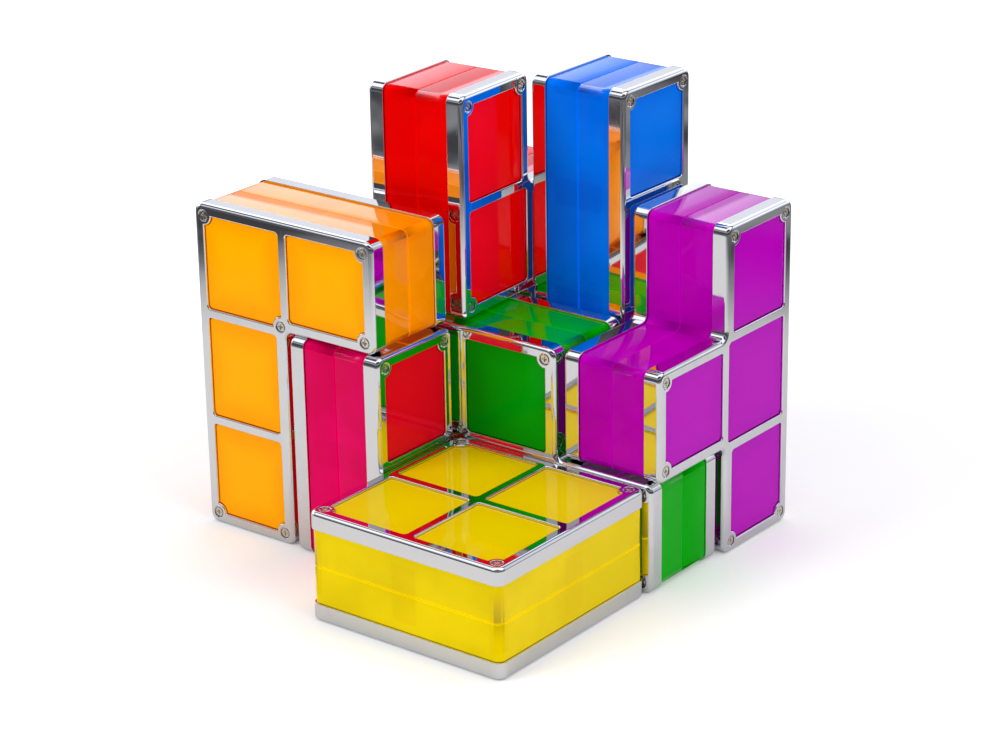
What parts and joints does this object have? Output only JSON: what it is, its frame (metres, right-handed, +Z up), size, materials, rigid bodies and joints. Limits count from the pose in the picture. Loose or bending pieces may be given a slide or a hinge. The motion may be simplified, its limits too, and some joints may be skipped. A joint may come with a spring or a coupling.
{
  "type": "light-up stacking block puzzle",
  "caption": "Pile of loose light-up puzzle blocks, each made of square cells in a chromed frame round a coloured shell; they lift or slide apart and stack into a desk lamp.",
  "frame": {"origin": "middle of the pile's bounding box, at the height of the surface it stands on", "axes": "+Z up, +X to the right along the front of the green and orange blocks, +Y towards the back"},
  "size_m": [0.175, 0.1732, 0.168],
  "materials": {
    "chrome": "mirror",
    "green_plastic": "glossy",
    "magenta_plastic": "glossy",
    "orange_plastic": "glossy",
    "yellow_plastic": "glossy",
    "purple_plastic": "glossy",
    "blue_plastic": "glossy",
    "red_plastic": "glossy",
    "screw_steel": "polished",
    "board": "matt white solder resist",
    "led": "glossy",
    "socket_black": "satin"
  },
  "bodies": {
    "green_block": {"green_front_frame": "chrome", "green_rear_frame": "chrome", "green_front_shell": "green_plastic", "green_rear_shell": "green_plastic", "green_front_screws": "screw_steel", "green_rear_screws": "screw_steel", "green_led_board": "board", "green_leds": "led"},
    "magenta_block": {"magenta_front_frame": "chrome", "magenta_rear_frame": "chrome", "magenta_front_shell": "magenta_plastic", "magenta_rear_shell": "magenta_plastic", "magenta_front_screws": "screw_steel", "magenta_rear_screws": "screw_steel", "magenta_led_board": "board", "magenta_leds": "led"},
    "orange_block": {"orange_front_frame": "chrome", "orange_rear_frame": "chrome", "orange_front_shell": "orange_plastic", "orange_rear_shell": "orange_plastic", "orange_front_screws": "screw_steel", "orange_rear_screws": "screw_steel", "orange_led_board": "board", "orange_leds": "led"},
    "yellow_block": {"yellow_front_frame": "chrome", "yellow_rear_frame": "chrome", "yellow_front_shell": "yellow_plastic", "yellow_rear_shell": "yellow_plastic", "yellow_front_screws": "screw_steel", "yellow_rear_screws": "screw_steel", "yellow_led_board": "board", "yellow_leds": "led"},
    "purple_block": {"purple_front_frame": "chrome", "purple_rear_frame": "chrome", "purple_front_shell": "purple_plastic", "purple_rear_shell": "purple_plastic", "purple_front_screws": "screw_steel", "purple_rear_screws": "screw_steel", "purple_led_board": "board", "purple_leds": "led"},
    "blue_block": {"blue_front_frame": "chrome", "blue_rear_frame": "chrome", "blue_front_shell": "blue_plastic", "blue_rear_shell": "blue_plastic", "blue_front_screws": "screw_steel", "blue_rear_screws": "screw_steel", "blue_led_board": "board", "blue_leds": "led", "blue_power_socket": "socket_black"},
    "red_block": {"red_front_frame": "chrome", "red_rear_frame": "chrome", "red_front_shell": "red_plastic", "red_rear_shell": "red_plastic", "red_front_screws": "screw_steel", "red_rear_screws": "screw_steel", "red_led_board": "board", "red_leds": "led"}
  },
  "joints": [
    {"name": "orange_lift", "type": "slide", "parent": "green_block", "child": "orange_block", "axis": [0, 0, 1], "range_m": [0, 0.175]},
    {"name": "yellow_lift", "type": "slide", "parent": "green_block", "child": "yellow_block", "axis": [0, 0, 1], "range_m": [0, 0.175]},
    {"name": "purple_lift", "type": "slide", "parent": "green_block", "child": "purple_block", "axis": [0, 0, 1], "range_m": [0, 0.175]},
    {"name": "blue_lift", "type": "slide", "parent": "green_block", "child": "blue_block", "axis": [0, 0, 1], "range_m": [0, 0.175]},
    {"name": "red_lift", "type": "slide", "parent": "green_block", "child": "red_block", "axis": [0, 0, 1], "range_m": [0, 0.135]},
    {"name": "magenta_pull", "type": "slide", "parent": "green_block", "child": "magenta_block", "axis": [0, -1, 0], "range_m": [0, 0.17]}
  ]
}
